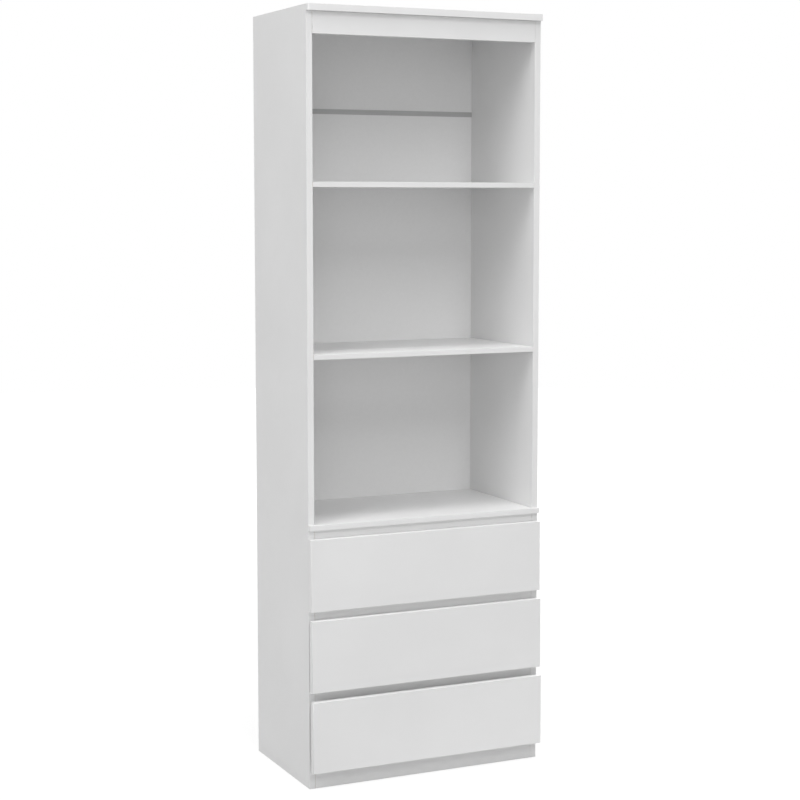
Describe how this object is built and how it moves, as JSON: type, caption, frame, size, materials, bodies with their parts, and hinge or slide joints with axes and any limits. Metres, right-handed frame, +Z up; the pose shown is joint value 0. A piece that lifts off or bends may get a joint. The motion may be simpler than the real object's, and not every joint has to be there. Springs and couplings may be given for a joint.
{
  "type": "bookcase with bottom drawers",
  "caption": "Tall narrow white bookcase: equal open bays above a deck with a proud lip, handleless full-width drawers below on roller runners, pulled by the finger gaps above them.",
  "frame": {"origin": "on the floor, under the middle of the bounding box as the bookcase stands with its two lower drawers a few millimetres open", "axes": "+Z up, +Y towards the back, the front faces -Y, +X to the right of someone who stands before it"},
  "size_m": [0.6, 0.3604, 1.8],
  "materials": {
    "white_melamine": "satin white melamine face on chipboard, white edge bands",
    "white_hardboard": "smooth white lacquered thin fibreboard",
    "coated_steel": "white powder-coated folded steel",
    "white_nylon": "moulded white nylon",
    "grey_joint_plastic": "extruded grey plastic"
  },
  "bodies": {
    "carcass": {"left_side_panel": "white_melamine", "right_side_panel": "white_melamine", "top_panel": "white_melamine", "top_fascia": "white_melamine", "upper_shelf": "white_melamine", "lower_shelf": "white_melamine", "deck_panel": "white_melamine", "bottom_panel": "white_melamine", "front_plinth": "white_melamine", "rear_plinth": "white_melamine", "upper_gap_rail": "white_melamine", "middle_gap_rail": "white_melamine", "lower_gap_rail": "white_melamine", "upper_back_panel": "white_hardboard", "middle_back_panel": "white_hardboard", "lower_back_panel": "white_hardboard", "back_joint_strip": "grey_joint_plastic", "upper_left_cabinet_runner": "coated_steel", "upper_right_cabinet_runner": "coated_steel", "middle_left_cabinet_runner": "coated_steel", "middle_right_cabinet_runner": "coated_steel", "lower_left_cabinet_runner": "coated_steel", "lower_right_cabinet_runner": "coated_steel"},
    "upper_drawer": {"upper_drawer_front": "white_melamine", "upper_drawer_left_side": "white_melamine", "upper_drawer_right_side": "white_melamine", "upper_drawer_back": "white_melamine", "upper_drawer_bottom": "white_hardboard", "upper_left_drawer_runner": "coated_steel", "upper_right_drawer_runner": "coated_steel"},
    "upper_left_cabinet_roller": {"upper_left_cabinet_roller": "white_nylon"},
    "upper_left_drawer_roller": {"upper_left_drawer_roller": "white_nylon"},
    "upper_right_cabinet_roller": {"upper_right_cabinet_roller": "white_nylon"},
    "upper_right_drawer_roller": {"upper_right_drawer_roller": "white_nylon"},
    "middle_drawer": {"middle_drawer_front": "white_melamine", "middle_drawer_left_side": "white_melamine", "middle_drawer_right_side": "white_melamine", "middle_drawer_back": "white_melamine", "middle_drawer_bottom": "white_hardboard", "middle_left_drawer_runner": "coated_steel", "middle_right_drawer_runner": "coated_steel"},
    "middle_left_cabinet_roller": {"middle_left_cabinet_roller": "white_nylon"},
    "middle_left_drawer_roller": {"middle_left_drawer_roller": "white_nylon"},
    "middle_right_cabinet_roller": {"middle_right_cabinet_roller": "white_nylon"},
    "middle_right_drawer_roller": {"middle_right_drawer_roller": "white_nylon"},
    "lower_drawer": {"lower_drawer_front": "white_melamine", "lower_drawer_left_side": "white_melamine", "lower_drawer_right_side": "white_melamine", "lower_drawer_back": "white_melamine", "lower_drawer_bottom": "white_hardboard", "lower_left_drawer_runner": "coated_steel", "lower_right_drawer_runner": "coated_steel"},
    "lower_left_cabinet_roller": {"lower_left_cabinet_roller": "white_nylon"},
    "lower_left_drawer_roller": {"lower_left_drawer_roller": "white_nylon"},
    "lower_right_cabinet_roller": {"lower_right_cabinet_roller": "white_nylon"},
    "lower_right_drawer_roller": {"lower_right_drawer_roller": "white_nylon"}
  },
  "joints": [
    {"name": "upper_drawer_slide", "type": "slide", "parent": "carcass", "child": "upper_drawer", "axis": [0, -1, 0], "range_m": [0, 0.24]},
    {"name": "upper_left_cabinet_roller_spin", "type": "hinge", "parent": "carcass", "child": "upper_left_cabinet_roller", "pos_m": [-0.2796, -0.12785, 0.452], "axis": [1, 0, 0], "continuous": true},
    {"name": "upper_left_drawer_roller_spin", "type": "hinge", "parent": "upper_drawer", "child": "upper_left_drawer_roller", "pos_m": [-0.2779, 0.13345, 0.4475], "axis": [1, 0, 0], "continuous": true},
    {"name": "upper_right_cabinet_roller_spin", "type": "hinge", "parent": "carcass", "child": "upper_right_cabinet_roller", "pos_m": [0.2796, -0.12785, 0.452], "axis": [1, 0, 0], "continuous": true},
    {"name": "upper_right_drawer_roller_spin", "type": "hinge", "parent": "upper_drawer", "child": "upper_right_drawer_roller", "pos_m": [0.2779, 0.13345, 0.4475], "axis": [1, 0, 0], "continuous": true},
    {"name": "middle_drawer_slide", "type": "slide", "parent": "carcass", "child": "middle_drawer", "axis": [0, -1, 0], "range_m": [-0.005, 0.235]},
    {"name": "middle_left_cabinet_roller_spin", "type": "hinge", "parent": "carcass", "child": "middle_left_cabinet_roller", "pos_m": [-0.2796, -0.12785, 0.263], "axis": [1, 0, 0], "continuous": true},
    {"name": "middle_left_drawer_roller_spin", "type": "hinge", "parent": "middle_drawer", "child": "middle_left_drawer_roller", "pos_m": [-0.2779, 0.12845, 0.2585], "axis": [1, 0, 0], "continuous": true},
    {"name": "middle_right_cabinet_roller_spin", "type": "hinge", "parent": "carcass", "child": "middle_right_cabinet_roller", "pos_m": [0.2796, -0.12785, 0.263], "axis": [1, 0, 0], "continuous": true},
    {"name": "middle_right_drawer_roller_spin", "type": "hinge", "parent": "middle_drawer", "child": "middle_right_drawer_roller", "pos_m": [0.2779, 0.12845, 0.2585], "axis": [1, 0, 0], "continuous": true},
    {"name": "lower_drawer_slide", "type": "slide", "parent": "carcass", "child": "lower_drawer", "axis": [0, -1, 0], "range_m": [-0.01, 0.23]},
    {"name": "lower_left_cabinet_roller_spin", "type": "hinge", "parent": "carcass", "child": "lower_left_cabinet_roller", "pos_m": [-0.2796, -0.12785, 0.074], "axis": [1, 0, 0], "continuous": true},
    {"name": "lower_left_drawer_roller_spin", "type": "hinge", "parent": "lower_drawer", "child": "lower_left_drawer_roller", "pos_m": [-0.2779, 0.12345, 0.0695], "axis": [1, 0, 0], "continuous": true},
    {"name": "lower_right_cabinet_roller_spin", "type": "hinge", "parent": "carcass", "child": "lower_right_cabinet_roller", "pos_m": [0.2796, -0.12785, 0.074], "axis": [1, 0, 0], "continuous": true},
    {"name": "lower_right_drawer_roller_spin", "type": "hinge", "parent": "lower_drawer", "child": "lower_right_drawer_roller", "pos_m": [0.2779, 0.12345, 0.0695], "axis": [1, 0, 0], "continuous": true}
  ],
  "couplings": [
    {"joint": "upper_left_cabinet_roller_spin", "follows": "upper_drawer_slide", "rad_per_m": 100},
    {"joint": "upper_left_drawer_roller_spin", "follows": "upper_drawer_slide", "rad_per_m": 100},
    {"joint": "upper_right_cabinet_roller_spin", "follows": "upper_drawer_slide", "rad_per_m": 100},
    {"joint": "upper_right_drawer_roller_spin", "follows": "upper_drawer_slide", "rad_per_m": 100},
    {"joint": "middle_left_cabinet_roller_spin", "follows": "middle_drawer_slide", "rad_per_m": 100},
    {"joint": "middle_left_drawer_roller_spin", "follows": "middle_drawer_slide", "rad_per_m": 100},
    {"joint": "middle_right_cabinet_roller_spin", "follows": "middle_drawer_slide", "rad_per_m": 100},
    {"joint": "middle_right_drawer_roller_spin", "follows": "middle_drawer_slide", "rad_per_m": 100},
    {"joint": "lower_left_cabinet_roller_spin", "follows": "lower_drawer_slide", "rad_per_m": 100},
    {"joint": "lower_left_drawer_roller_spin", "follows": "lower_drawer_slide", "rad_per_m": 100},
    {"joint": "lower_right_cabinet_roller_spin", "follows": "lower_drawer_slide", "rad_per_m": 100},
    {"joint": "lower_right_drawer_roller_spin", "follows": "lower_drawer_slide", "rad_per_m": 100}
  ]
}
